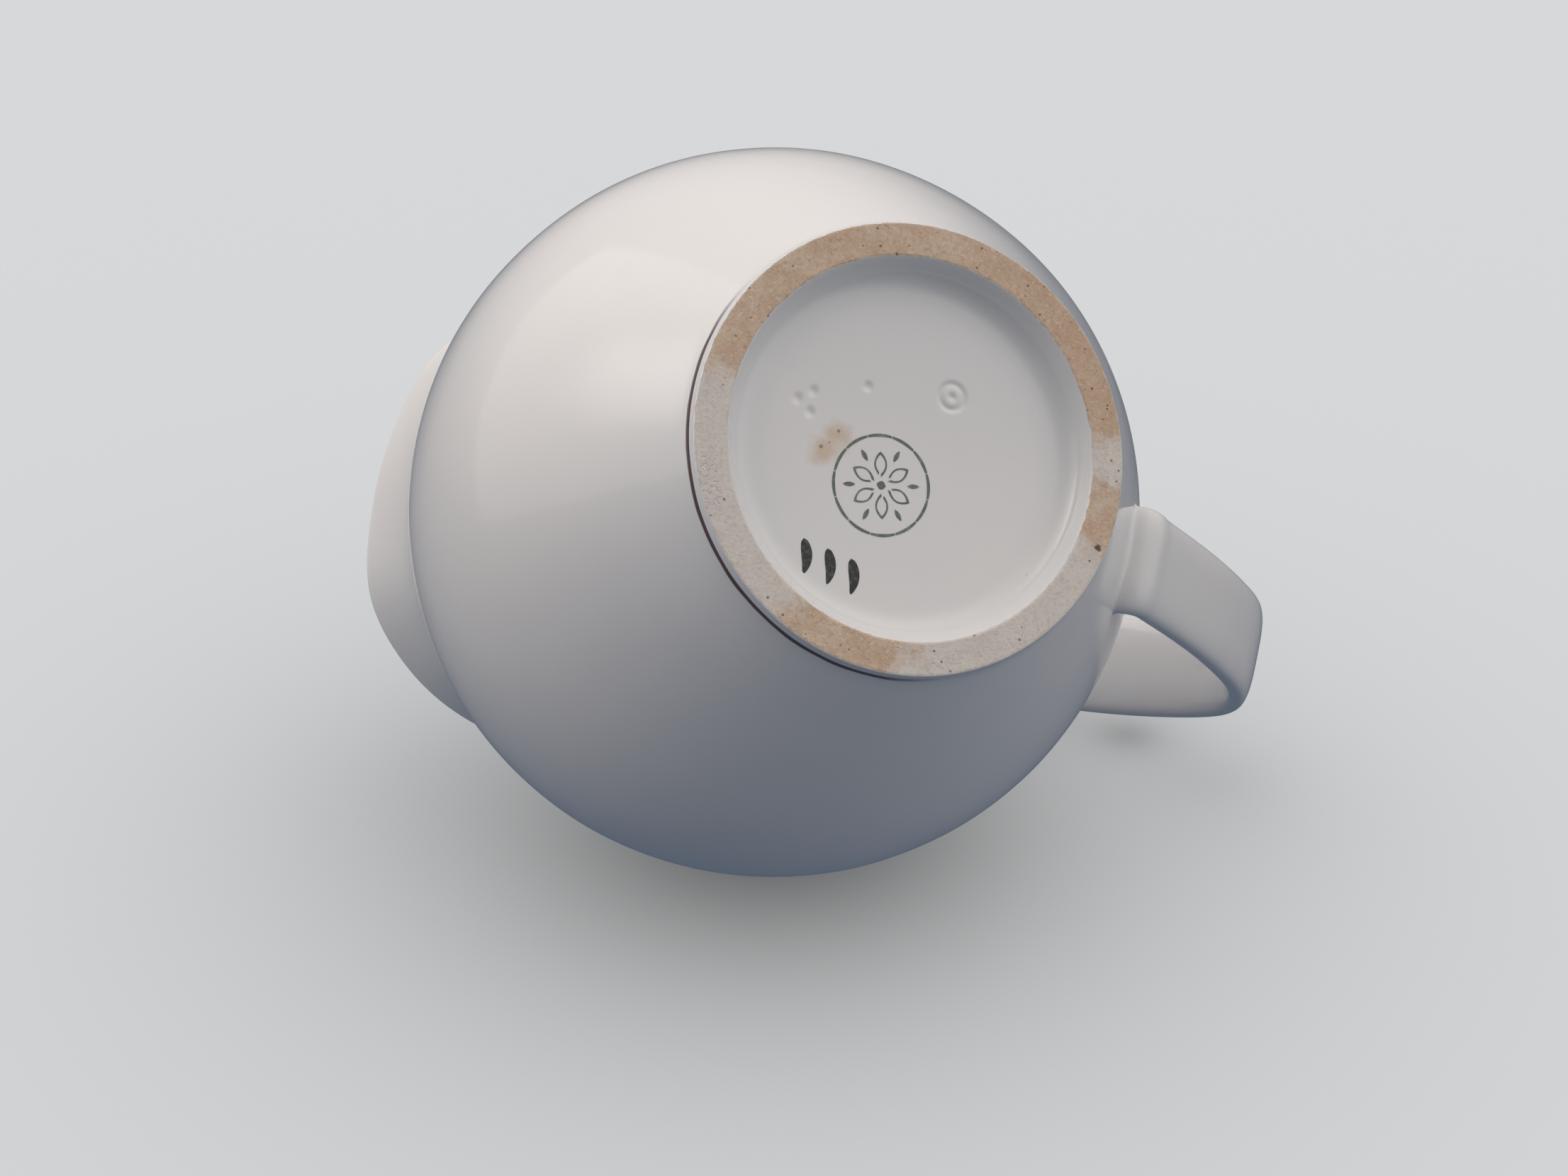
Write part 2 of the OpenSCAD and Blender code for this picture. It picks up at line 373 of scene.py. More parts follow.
def strap_section(width, thickness, count=88):
    """Flat faces with fully rounded edges, as [across, outward], evenly spaced along its outline."""
    a = np.linspace(0, 2 * math.pi, 2000, endpoint=False)
    power = 2 / STRAP_SQUARENESS
    across = width / 2 * np.sign(np.cos(a)) * np.abs(np.cos(a)) ** power
    outward = thickness / 2 * np.sign(np.sin(a)) * np.abs(np.sin(a)) ** power
    outline = np.stack([across, outward], axis=1)
    return resampled(np.concatenate([outline, outline[:1]]), count + 1)[:-1]


def strap_rings():
    route = relaxed(through(STRAP_ROUTE, STRAP_RINGS), 40, hold=10)
    ahead = np.gradient(route, axis=0)
    ahead /= np.linalg.norm(ahead, axis=1)[:, None]
    rings = []
    for k, (point, way) in enumerate(zip(route, ahead)):
        share = (k / (STRAP_RINGS - 1)) ** STRAP_TAPER
        width = STRAP_LOW_WIDTH + (STRAP_TOP_WIDTH - STRAP_LOW_WIDTH) * share
        section = strap_section(width, STRAP_THICKNESS)
        rings.append(placed(section, point, way))
    return firm_ends(rings), ahead


def placed(section, point, way):
    """A section set square to a heading, where point and way are [distance from the axis, height]."""
    across, outward = section.T
    return np.stack([point[0] + way[1] * outward, across, point[1] - way[0] * outward], axis=1)


def crossing(trace, tree):
    """Where a line of points first goes into the body: the step, the point and the body's normal there."""
    for k in range(len(trace) - 1):
        step = trace[k + 1] - trace[k]
        length = np.linalg.norm(step)
        hit, normal, _, _ = tree.ray_cast(Vector(trace[k]), Vector(step / length), length * 1.001)
        if hit is not None:
            return k, np.array(hit), np.array(normal)
    return len(trace) - 2, trace[-1], trace[-1] - trace[-2]


def slip_joint(name, tree, width, start, way, root, inward, lead, pulls, spread, full, reach):
    """The slip between strap and body. It turns to meet the body and runs out on it in a hollow curve."""
    turning = settling_path(start + lead * way, way, root, inward, pulls, 200)
    path = resampled(np.concatenate([[start], turning]), 60)
    ways = np.gradient(path, axis=0)
    ways[0], ways[-1] = way, inward
    ways /= np.linalg.norm(ways, axis=1)[:, None]
    rings = []
    for k, (point, heading) in enumerate(zip(path, ways)):
        grow = 2 * spread * smoothstep(full - 0.6, full, k / (len(path) - 1))
        rings.append(placed(strap_section(width + grow, STRAP_THICKNESS + grow), point, heading))
    traces = np.array(rings).transpose(1, 0, 2)
    crossings = [crossing(trace, tree) for trace in traces]
    middle = np.mean([hit for _, hit, _ in crossings], axis=0)
    lines = []
    for trace, (k, hit, normal) in zip(traces, crossings):
        run = np.concatenate([trace[: k + 1], [hit]])
        steps = np.concatenate([[0], np.cumsum(np.linalg.norm(np.diff(run, axis=0), axis=1))])
        stop = max(steps[-1] - reach, 0.12 * steps[-1])
        leave = np.array([np.interp(stop, steps, run[:, axis]) for axis in range(3)])
        side = hit - middle
        side -= normal * (side @ normal)
        side /= np.linalg.norm(side)
        near, near_normal, _, _ = tree.find_nearest(Vector(hit + side * reach))
        land = np.array(near) - np.array(near_normal) * LANDING_DEPTH
        t = np.linspace(0, 1, 24)[:, None]
        fillet = (1 - t) ** 2 * leave + 2 * t * (1 - t) * hit + t * t * land
        lines.append(resampled(np.concatenate([run[steps < stop], fillet]), 30))
    vertices, faces = ring_mesh(firm_ends(np.array(lines).transpose(1, 0, 2)))
    return mesh_object(name, vertices, faces)


def make_handle(body):
    body.data.update()
    tree = BVHTree.FromPolygons(
        [Vector(v.co) / MM for v in body.data.vertices], [p.vertices[:] for p in body.data.polygons]
    )
    rings, ahead = strap_rings()
    vertices, faces = ring_mesh(rings)
    strap = mesh_object("handle_strap", vertices, faces)
    side = outer_side(180)
    root_radius, above, below = np.interp(
        [LOWER_ROOT_HEIGHT, LOWER_ROOT_HEIGHT + 1, LOWER_ROOT_HEIGHT - 1], side[:, 1], side[:, 0]
    )
    inward = np.array([-2, above - below])
    inward /= np.linalg.norm(inward)
    root = np.array([root_radius, LOWER_ROOT_HEIGHT]) + LOWER_ROOT_DEPTH * inward
    start, finish = np.array(STRAP_ROUTE[0], float), np.array(STRAP_ROUTE[-1], float)
    lower = slip_joint(
        "handle_lower_slip", tree, STRAP_LOW_WIDTH, start, -ahead[0], root, inward, **LOWER_JOINT
    )
    root, inward = finish + UPPER_JOINT_LENGTH * ahead[-1], ahead[-1]
    upper = slip_joint(
        "handle_upper_slip", tree, STRAP_TOP_WIDTH, finish, ahead[-1], root, inward, **UPPER_JOINT
    )
    return strap, lower, upper


# ---------------------------------------------------------------- the foot ring


def foot_profile():
    """Half section of the ring, from its seat under the body, round its outside, face and inside."""
    seat = np.array([SEAT_RADIUS, FOOT_HEIGHT])
    slope = np.array([LOW_FOOT_SLOPE, 1]) / math.hypot(LOW_FOOT_SLOPE, 1)
    outside, inside = np.array([FOOT_RADIUS, 0]), np.array([FOOT_INNER_RADIUS, 0])
    recess = np.array([RECESS_RADIUS, FOOT_HEIGHT])
    wall_top = outside + [0.4, FOOT_HEIGHT - 1.95]
    fillet = firm_ends(bezier(seat, seat - slope * 1.35, wall_top + [0.03, 0.35], wall_top, 24))
    wall = bezier(wall_top, wall_top - [0.01, 0.35], outside + [0.32, 0.5], outside + [0.27, 0.24], 8)
    outer_edge = bezier(wall[-1], outside + [0.22, 0.06], outside + [0.12, 0], outside - [0.1, 0], 10)
    face = np.linspace(outer_edge[-1], inside + [0.1, 0], 26)
    inner_edge = bezier(face[-1], inside - [0.05, 0], inside + [-0.2, 0.08], inside + [-0.32, 0.35], 10)
    hollow = bezier(inner_edge[-1], inside + [-0.95, 1.75], recess + [2, 0], recess - [0.3, 0.004], 30)
    run_out = [recess + [-1.1, 0.005], recess + [-1.9, 0.04]]
    hidden_top = [recess + [-1.9, 0.3], seat + [-0.3, 0.3]]
    parts = [fillet, wall[1:], outer_edge[1:], face[1:], inner_edge[1:], hollow[1:], run_out, hidden_top]
    return np.concatenate(parts)


def make_foot_ring():
    turn = np.arange(RING_MERIDIANS) * 2 * math.pi / RING_MERIDIANS
    rings = [
        np.stack([radius * np.cos(turn), radius * np.sin(turn), np.full(RING_MERIDIANS, height)], axis=1)
        for radius, height in foot_profile()
    ]
    vertices, faces = ring_mesh(rings, capped=False)
    faces += strip((len(rings) - 1) * RING_MERIDIANS, 0, RING_MERIDIANS)
    return mesh_object("turned_foot_ring", vertices, faces)


# ---------------------------------------------------------------- marks on the underside

PRINT_CENTRE = np.array([-1.6, 4.2])
PRINT_RADIUS, PRINT_LINE, PRINT_ARCS, ARC_SHARE = 5.4, 0.34, 12, 0.97
PETALS, PETAL_LENGTH, PETAL_WIDTH, PETAL_START, PETAL_LINE = 6, 3.65, 1.45, 0.88, 0.36
LEAFLET_LENGTH, LEAFLET_WIDTH, LEAFLET_START = 4.35, 0.5, 2.95
HEART_LENGTH, HEART_WIDTH = 1.06, 0.94
DAB_MIDDLE = np.array([-5.4, 14.4])
DAB_TURN = math.radians(6)
DABS, DAB_SPACING, DAB_LENGTH, DAB_WIDTH, DAB_BOW = 3, 2.8, 3.8, 1.35, 0.42
INLAY_IN, INLAY_OUT = 0.06, 0.03  # how far the marks go into the glaze and stand out of it


def underside(point):
    return recess_floor(np.hypot(*point))


def inlay(name, outlines):
    """Thin closed shapes let into the underside: each outline is a run of [x, y] points."""
    vertices, faces = [], []
    for outline in outlines:
        first, count = len(vertices), len(outline)
        vertices += [(x, y, underside((x, y)) - INLAY_OUT) for x, y in outline]
        vertices += [(x, y, underside((x, y)) + INLAY_IN) for x, y in outline]
        faces.append(tuple(range(first, first + count))[::-1])
        faces.append(tuple(range(first + count, first + 2 * count)))
        faces += strip(first, first + count, count)
    return mesh_object(name, vertices, faces)


def stroke(spine, across, half):
    """The outline of a stroke along a line of points that reaches half its width to each side."""
    reach = across * half[:, None]
    return np.concatenate([spine + reach, (spine - reach)[-2:0:-1]])


def arc_band(centre, radius, line, start, stop, count=14):
    """A stretch of a drawn circle, a little heavier in its middle than at its ends."""
    turn = np.linspace(start, stop, count)
    weight = line * (0.7 + 0.3 * np.sin(np.linspace(0, math.pi, count)))
    way = np.stack([np.cos(turn), np.sin(turn)], axis=1)
    outer = centre + way * (radius + weight / 2)[:, None]
    inner = centre + way * (radius - weight / 2)[:, None]
    return np.concatenate([outer, inner[::-1]])


def petal(centre, turn, length, width, inner):
    """A leaf shape that points away from the centre."""
    t = np.linspace(0, 1, 12)
    half = width / 2 * np.sin(math.pi * t) ** 0.8
    along = np.array([math.cos(turn), math.sin(turn)])
    across = np.array([-along[1], along[0]])
    spine = centre + along * (inner + (length - inner) * t)[:, None]
    return stroke(spine, across, half)


def leaf_line(centre, turn, length, width, inner, line):
    """The same leaf as a thin outline, in two halves."""
    whole = petal(centre, turn, length, width, inner)
    middle = centre + np.array([math.cos(turn), math.sin(turn)]) * (inner + length) / 2
    small = middle + (whole - middle) * (1 - line / width)
    half = len(whole) // 2
    first, second = slice(0, half + 1), slice(half, None)
    outer, inner = whole[second].copy(), small[second].copy()
    outer[0] += 0.1 * (outer[1] - outer[0])  # a hair's gap, so that the halves don't share an edge
    inner[0] += 0.1 * (inner[1] - inner[0])
    return [np.concatenate([whole[first], small[first][::-1]]), np.concatenate([outer, inner[::-1]])]


def make_print():
    """Six petals and six leaflets about a heart, in a ring drawn as short arcs."""
    outlines = []
    arc = 2 * math.pi / PRINT_ARCS
    for k in range(PRINT_ARCS):
        outlines.append(arc_band(PRINT_CENTRE, PRINT_RADIUS, PRINT_LINE, k * arc, (k + ARC_SHARE) * arc))
    for k in range(PETALS):
        turn = 2 * math.pi * (k + 0.25) / PETALS
        outlines += leaf_line(PRINT_CENTRE, turn, PETAL_LENGTH, PETAL_WIDTH, PETAL_START, PETAL_LINE)
        leaflet_turn = turn + math.pi / PETALS
        outlines.append(petal(PRINT_CENTRE, leaflet_turn, LEAFLET_LENGTH, LEAFLET_WIDTH, LEAFLET_START))
    outlines.append(petal(PRINT_CENTRE - [HEART_LENGTH / 2, 0], 0, HEART_LENGTH, HEART_WIDTH, 0))
    return inlay("underglaze_rosette", outlines)


def make_dabs():
    """Three short strokes of a loaded brush, each fat at its start and thin at its end."""
    outlines = []
    row = np.array([math.cos(DAB_TURN), math.sin(DAB_TURN)])
    lift = np.array([-row[1], row[0]])
    for k in range(DABS):
        t = np.linspace(0, 1, 18)
        spine = DAB_MIDDLE + row * DAB_SPACING * (k - 1)
        spine = spine + (lift * 0.95 + row * 0.32) * DAB_LENGTH * (t - 0.5)[:, None]
        spine = spine + row * (DAB_BOW * np.sin(math.pi * t))[:, None]
        along = np.gradient(spine, axis=0)
        along /= np.linalg.norm(along, axis=1)[:, None]
        across = np.stack([-along[:, 1], along[:, 0]], axis=1)
        half = DAB_WIDTH / 2 * np.sqrt(np.clip(np.sin(math.pi * t), 0, 1)) * (1.15 - 0.6 * t)
        outlines.append(stroke(spine, across, half))
    return inlay("overglaze_dabs", outlines)


# ---------------------------------------------------------------- materials


class Surface:
    """A material and short ways to add nodes to it. Positions are in millimetres, in the row frame."""

    def __init__(self, name):
        self.material = bpy.data.materials.new(name)
        self.material.use_nodes = True
        self.nodes = self.material.node_tree.nodes
        self.links = self.material.node_tree.links
        self.shader = self.nodes["Principled BSDF"]
        coordinates = self.nodes.new("ShaderNodeTexCoord")
        scaled = self.nodes.new("ShaderNodeVectorMath")
        scaled.operation = "SCALE"
        scaled.inputs["Scale"].default_value = 1 / MM
        self.links.new(coordinates.outputs["Object"], scaled.inputs[0])
        self.place = scaled.outputs[0]
        parts = self.nodes.new("ShaderNodeSeparateXYZ")
        self.links.new(self.place, parts.inputs[0])
        self.x, self.y, self.z = parts.outputs

    def feed(self, value, socket):
        if isinstance(value, bpy.types.NodeSocket):
            self.links.new(value, socket)
        else:
            socket.default_value = value

    def calc(self, operation, first, second=0.0):
        node = self.nodes.new("ShaderNodeMath")
        node.operation = operation
        self.feed(first, node.inputs[0])
        self.feed(second, node.inputs[1])
        return node.outputs[0]

    def times(self, first, second):
        return self.calc("MULTIPLY", first, second)

    def rise(self, value, low, high):
        """0 below low, 1 above high, smooth between. High may be the smaller, which turns it round."""
        node = self.nodes.new("ShaderNodeMapRange")
        node.interpolation_type = "SMOOTHSTEP"
        self.feed(value, node.inputs["Value"])
        turned = low > high
        node.inputs["From Min"].default_value = min(low, high)
        node.inputs["From Max"].default_value = max(low, high)
        node.inputs["To Min"].default_value = 1.0 if turned else 0.0
        node.inputs["To Max"].default_value = 0.0 if turned else 1.0
        return node.outputs["Result"]

    def band(self, value, low, high, soft):
        """1 between low and high, fading over a width of soft at each end."""
        up = self.rise(value, low - soft / 2, low + soft / 2)
        down = self.rise(value, high + soft / 2, high - soft / 2)
        return self.times(up, down)

    def moved(self, x, y, z):
        node = self.nodes.new("ShaderNodeVectorMath")
        node.operation = "ADD"
        node.inputs[1].default_value = (x, y, z)
        self.links.new(self.place, node.inputs[0])
        return node.outputs[0]

    def noise(self, size, detail=2.0, roughness=0.5, offset=0.0):
        """Noise from about 0.2 to 0.8 with blobs of about the given size in millimetres."""
        node = self.nodes.new("ShaderNodeTexNoise")
        self.links.new(self.moved(offset, offset * 0.7, -offset), node.inputs["Vector"])
        node.inputs["Scale"].default_value = 1 / size
        node.inputs["Detail"].default_value = detail
        node.inputs["Roughness"].default_value = roughness
        return node.outputs["Fac"]

    def specks(self, spacing, size, share, offset=0.0):
        """Small round spots: spacing and size in millimetres, and the share of cells that have one."""
        node = self.nodes.new("ShaderNodeTexVoronoi")
        self.links.new(self.moved(offset, -offset, offset * 0.5), node.inputs["Vector"])
        node.inputs["Scale"].default_value = 1 / spacing
        parts = self.nodes.new("ShaderNodeSeparateColor")
        self.links.new(node.outputs["Color"], parts.inputs[0])
        spot = self.rise(node.outputs["Distance"], size / spacing, size / spacing * 0.45)
        chosen = self.calc("LESS_THAN", parts.outputs[0], share)
        return self.times(spot, chosen)

    def blend(self, share, first, second):
        node = self.nodes.new("ShaderNodeMix")
        node.data_type = "RGBA"
        self.feed(share, node.inputs["Factor"])
        self.feed(first, node.inputs[6])
        self.feed(second, node.inputs[7])
        return node.outputs[2]

    def tinted(self, tone, share, strength, colour):
        """A tone with as much of a colour over it as the share says, times its strength."""
        return self.blend(self.times(share, strength), tone, colour)

    def stirred(self, reach, *noise, offset):
        """Noise about 0, as an amount to move an edge by."""
        return self.times(self.calc("SUBTRACT", self.noise(*noise, offset=offset), 0.5), reach)

    def mixed(self, share, first, second):
        """A number between two numbers."""
        gap = self.times(share, self.calc("SUBTRACT", second, first))
        return self.calc("ADD", gap, first)

    def away_from(self, x, y):
        """Distance from a point of the plan, in millimetres."""
        dx = self.calc("SUBTRACT", self.x, x)
        dy = self.calc("SUBTRACT", self.y, y)
        squares = self.calc("ADD", self.times(dx, dx), self.times(dy, dy))
        return self.calc("SQRT", squares)

    def azimuth(self):
        """Direction about the axis in degrees, from 0 to 360."""
        turn = self.times(self.calc("ARCTAN2", self.y, self.x), 180 / math.pi)
        return self.calc("FLOORED_MODULO", self.calc("ADD", turn, 360.0), 360.0)

    def relief(self, height, depth):
        """Bumps the surface: height is from 0 to 1, and depth is its size in millimetres."""
        node = self.nodes.new("ShaderNodeBump")
        node.inputs["Strength"].default_value = 1.0
        node.inputs["Distance"].default_value = depth * MM
        self.feed(height, node.inputs["Height"])
        self.links.new(node.outputs["Normal"], self.shader.inputs["Normal"])


def linear(red, green, blue):
    """A colour given as it looks on a screen, from 0 to 255."""
    return tuple(((v / 255 + 0.055) / 1.055) ** 2.4 for v in (red, green, blue)) + (1.0,)


GLAZE = linear(241, 238, 235)
GLAZE_COOL = linear(236, 235, 234)
GLAZE_THICK = linear(230, 232, 231)
BARE_TAN = linear(230, 206, 180)
BARE_BROWN = linear(200, 163, 130)
BARE_RED = linear(172, 128, 104)
BARE_GREY = linear(236, 229, 219)
BARE_PINK = linear(231, 222, 214)
CHIP_WHITE = linear(244, 238, 232)
SOOT = linear(74, 58, 48)
MAROON = linear(74, 34, 36)
RUST = linear(208, 166, 108)
RUST_DARK = linear(112, 82, 56)
PRINT_GREEN = linear(96, 108, 101)
PRINT_PALE = linear(150, 159, 152)
BRUSH_BLACK = linear(16, 16, 18)

GLAZE_RIPPLE = 0.10  # depth of the ripple in the glaze, and of the grain of bare clay
STAIN_PLACES = ((-8.8, 2.6), (-7.6, 0.5))
STAIN_DOTS = ((-7.6, 0.0, 0.26), (-9.1, 2.2, 0.32), (-8.3, 1.5, 0.16))
BURN_PLACE = (22.7, 4.4)


def gloss(surface, roughness=0.09):
    shader = surface.shader
    shader.inputs["IOR"].default_value = 1.52
    shader.inputs["Roughness"].default_value = roughness
    shader.inputs["Specular IOR Level"].default_value = 0.5


def glaze_tone(surface):
    """White glaze with a very slow change of tone and a few pinhead specks of iron."""
    slow = surface.rise(surface.noise(38, 1.5), 0.35, 0.68)
    fine = surface.rise(surface.noise(6.5, 2.0, offset=11), 0.3, 0.75)
    tone = surface.tinted(GLAZE, slow, 0.65, GLAZE_COOL)
    tone = surface.tinted(tone, fine, 0.14, GLAZE_THICK)
    iron = surface.specks(9.0, 0.16, 0.35, offset=3)
    return surface.tinted(tone, iron, 0.42, RUST_DARK)


def glaze_ripple(surface):
    """The skin of the glaze: long soft waves with a faint finer ripple."""
    waves = surface.noise(15, 1.0, offset=5)
    ripple = surface.times(surface.noise(2.2, 1.5, offset=9), 0.10)
    return surface.calc("ADD", waves, ripple)


def glaze_roughness(surface):
    smear = surface.rise(surface.noise(12, 3.0, offset=21), 0.5, 0.8)
    return surface.mixed(smear, 0.08, 0.15)


def glaze_material(name):
    surface = Surface(name)
    gloss(surface)
    surface.feed(glaze_tone(surface), surface.shader.inputs["Base Color"])
    surface.feed(glaze_roughness(surface), surface.shader.inputs["Roughness"])
    surface.relief(glaze_ripple(surface), GLAZE_RIPPLE)
    return surface


def body_material():
    """White glaze that pools inside the foot ring and has a rusty stain there."""
    surface = Surface("glaze_on_body")
    gloss(surface)
    low = surface.rise(surface.z, FOOT_HEIGHT + 1.2, FOOT_HEIGHT + 0.6)
    radius = surface.away_from(0, 0)
    hollow = surface.times(low, surface.rise(radius, FOOT_INNER_RADIUS, FOOT_INNER_RADIUS - 1))

    tone = glaze_tone(surface)
    pool = surface.rise(radius, RECESS_RADIUS - 3, RECESS_RADIUS)
    tone = surface.tinted(tone, surface.times(pool, hollow), 0.35, GLAZE_THICK)

    wobble = surface.stirred(2.6, 1.6, 3.0, offset=31)
    blot = surface.calc("MINIMUM", *(surface.away_from(x, y) for x, y in STAIN_PLACES))
    stain = surface.times(surface.rise(surface.calc("ADD", blot, wobble), 2.3, 0.2), hollow)
    tone = surface.tinted(tone, stain, 0.55, RUST)
    for x, y, size in STAIN_DOTS:
        dot = surface.rise(surface.away_from(x, y), size, size * 0.3)
        tone = surface.tinted(tone, surface.times(dot, hollow), 0.7, RUST_DARK)
    surface.feed(tone, surface.shader.inputs["Base Color"])

    surface.feed(glaze_roughness(surface), surface.shader.inputs["Roughness"])
    surface.relief(glaze_ripple(surface), GLAZE_RIPPLE)
    return surface


def ring_material():
    """The foot ring: bare ground clay on the face it stands on, and glaze on its sides."""
    surface = Surface("foot_ring_clay_and_glaze")
    gloss(surface)
    radius = surface.away_from(0, 0)
    azimuth = surface.azimuth()
    edge = surface.calc("ADD", radius, surface.stirred(0.5, 0.9, 4.0, 0.65, offset=2))
    bare = surface.band(edge, FOOT_INNER_RADIUS - 0.12, FOOT_RADIUS + 0.14, 0.10)
    bare = surface.times(bare, surface.rise(surface.z, 0.42, 0.2))

    turn = surface.calc("ADD", azimuth, surface.stirred(40.0, 5, 3.0, 0.6, offset=7))
    toasted = surface.band(turn, 184, 338, 16)
    toasted = surface.calc("MAXIMUM", toasted, surface.band(turn, 80, 113, 10))
    turned = surface.calc("FLOORED_MODULO", surface.calc("ADD", turn, 180.0), 360.0)
    toasted = surface.calc("MAXIMUM", toasted, surface.band(turned, 173, 189, 9))
    deep = surface.times(surface.band(turn, 285, 345, 26), 0.35)

    cloud = surface.rise(surface.noise(2.6, 4.0, 0.6, offset=14), 0.32, 0.7)
    pale = surface.blend(cloud, BARE_GREY, BARE_PINK)
    warm = surface.tinted(BARE_TAN, cloud, 0.5, BARE_BROWN)
    warm = surface.blend(deep, warm, BARE_BROWN)
    clay = surface.blend(toasted, pale, warm)
    grain = surface.rise(surface.noise(0.32, 3.0, 0.7, offset=4), 0.42, 0.68)
    clay = surface.tinted(clay, grain, surface.mixed(toasted, 0.26, 0.5), BARE_BROWN)
    rusty = surface.rise(surface.noise(0.75, 4.0, 0.75, offset=52), 0.56, 0.68)
    clay = surface.tinted(clay, rusty, surface.mixed(toasted, 0.2, 0.5), BARE_RED)
    sand = surface.rise(surface.noise(0.45, 3.0, 0.7, offset=40), 0.54, 0.68)
    clay = surface.tinted(clay, sand, 0.5, BARE_GREY)
    pits = surface.specks(1.0, 0.18, 0.42, offset=8)
    clay = surface.tinted(clay, pits, 0.66, SOOT)
    grit = surface.specks(3.4, 0.30, 0.2, offset=17)
    clay = surface.tinted(clay, grit, 0.75, SOOT)

    chips = surface.rise(surface.noise(0.55, 2.0, 0.6, offset=61), 0.54, 0.6)
    chips = surface.times(chips, surface.band(azimuth, 146, 161, 4))
    chips = surface.times(chips, surface.band(radius, 22.2, 24.1, 0.5))
    clay = surface.tinted(clay, chips, 0.8, CHIP_WHITE)

    spread = surface.times(surface.noise(0.6, 2.0, offset=23), 1.2)
    burn = surface.rise(surface.calc("ADD", surface.away_from(*BURN_PLACE), spread), 1.15, 0.8)
    clay = surface.tinted(clay, burn, 0.85, MAROON)

    outside = surface.rise(radius, FOOT_RADIUS + 0.1, FOOT_RADIUS + 0.3)
    thick = surface.times(surface.rise(surface.z, FOOT_HEIGHT - 0.4, FOOT_HEIGHT - 1.6), outside)
    inside = surface.rise(radius, FOOT_INNER_RADIUS + 0.2, FOOT_INNER_RADIUS - 0.2)
    thick = surface.calc("MAXIMUM", thick, inside)
    glazed = surface.tinted(glaze_tone(surface), thick, 0.35, GLAZE_THICK)
    # A painted dark line of reflection and shade in the hollow where the ring's outer wall turns into the
    # body, over part of the way round
    level = surface.calc("ADD", surface.z, surface.times(surface.noise(4, 1.0, offset=6), 0.25))
    crease = surface.times(surface.band(level, 1.4, 2.0, 0.16), outside)
    crease = surface.times(crease, surface.band(azimuth, 76, 200, 22))
    glazed = surface.tinted(glazed, crease, 0.92, MAROON)
    surface.feed(surface.blend(bare, glazed, clay), surface.shader.inputs["Base Color"])
    surface.feed(surface.mixed(bare, glaze_roughness(surface), 0.85), surface.shader.inputs["Roughness"])

    rough = surface.calc("ADD", surface.times(grain, 0.22), surface.times(pits, -0.7))
    rough = surface.calc("ADD", rough, surface.times(grit, -0.9))
    rough = surface.calc("ADD", rough, surface.times(chips, -0.9))
    surface.relief(surface.mixed(bare, glaze_ripple(surface), rough), GLAZE_RIPPLE)
    return surface


def ink_material(name, colour, second, size):
    """Ink in patches of two colours, each about the given size in millimetres."""
    surface = Surface(name)
    gloss(surface, 0.12)
    patch = surface.rise(surface.noise(size, 3.0, 0.6, offset=3), 0.45, 0.7)
    surface.feed(surface.tinted(colour, patch, 0.6, second), surface.shader.inputs["Base Color"])
    surface.relief(surface.noise(0.5, 2.0), 0.01)
    return surface


# ---------------------------------------------------------------- pieces

body = make_body()
strap, lower_slip, upper_slip = make_handle(body)
foot_ring = make_foot_ring()
rosette = make_print()
dabs = make_dabs()

handle_glaze = glaze_material("glaze_on_handle").material
body_glaze = body_material().material
ring_clay = ring_material().material
print_ink = ink_material("underglaze_green", PRINT_GREEN, PRINT_PALE, 0.8).material
brush_ink = ink_material("overglaze_black", BRUSH_BLACK, PRINT_GREEN, 0.5).material

for piece, material, node, slot in (
    (body, body_glaze, "body", "glaze"),
    (foot_ring, ring_clay, "foot_ring", "biscuit"),
    (strap, handle_glaze, "handle", "glaze"),
    (lower_slip, handle_glaze, "handle_lower_joint", "glaze"),
    (upper_slip, handle_glaze, "handle_upper_joint", "glaze"),
    (rosette, print_ink, None, None),
    (dabs, brush_ink, None, None),
):
    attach(piece, "root")
    if node:
        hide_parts(node)
    piece.data.materials.append(material)

# ---------------------------------------------------------------- camera

CAMERA_PLACE = Vector((-74.13, 64.80, -218.24)) * MM
CAMERA_AIM = Vector((3.96, 8.29, 48.90)) * MM
CAMERA_ROLL = math.radians(-110.57)
camera_data = bpy.data.cameras.new("camera")
camera_data.lens = 52.08
camera_data.sensor_width = 36
camera = bpy.data.objects.new("camera", camera_data)
bpy.context.scene.collection.objects.link(camera)
camera.rotation_mode = "QUATERNION"
camera.location = CAMERA_PLACE
looking = (CAMERA_AIM - CAMERA_PLACE).to_track_quat("-Z", "Y")
camera.rotation_quaternion = looking @ Matrix.Rotation(CAMERA_ROLL, 3, "Z").to_quaternion()
camera_data.clip_start, camera_data.clip_end = 0.01, 20
bpy.context.scene.camera = camera

# ---------------------------------------------------------------- floor and light

CENTRE = Vector((0, 0, BELLY_HEIGHT)) * MM
RIGHT = camera.rotation_quaternion @ Vector((1, 0, 0))
UP = camera.rotation_quaternion @ Vector((0, 1, 0))
TOWARDS = camera.rotation_quaternion @ Vector((0, 0, 1))
PALE = linear(214, 216, 217)

# The pale floor under the upright jug. Its contact is how far off the foot its painted contact shadow still
# darkens it
FLOOR_DROP, FLOOR_RADIUS, FLOOR_CORNERS = 0.02 * MM, 1.2, 96
FLOOR_CONTACT, FLOOR_DARKEST = 0.05, 0.45


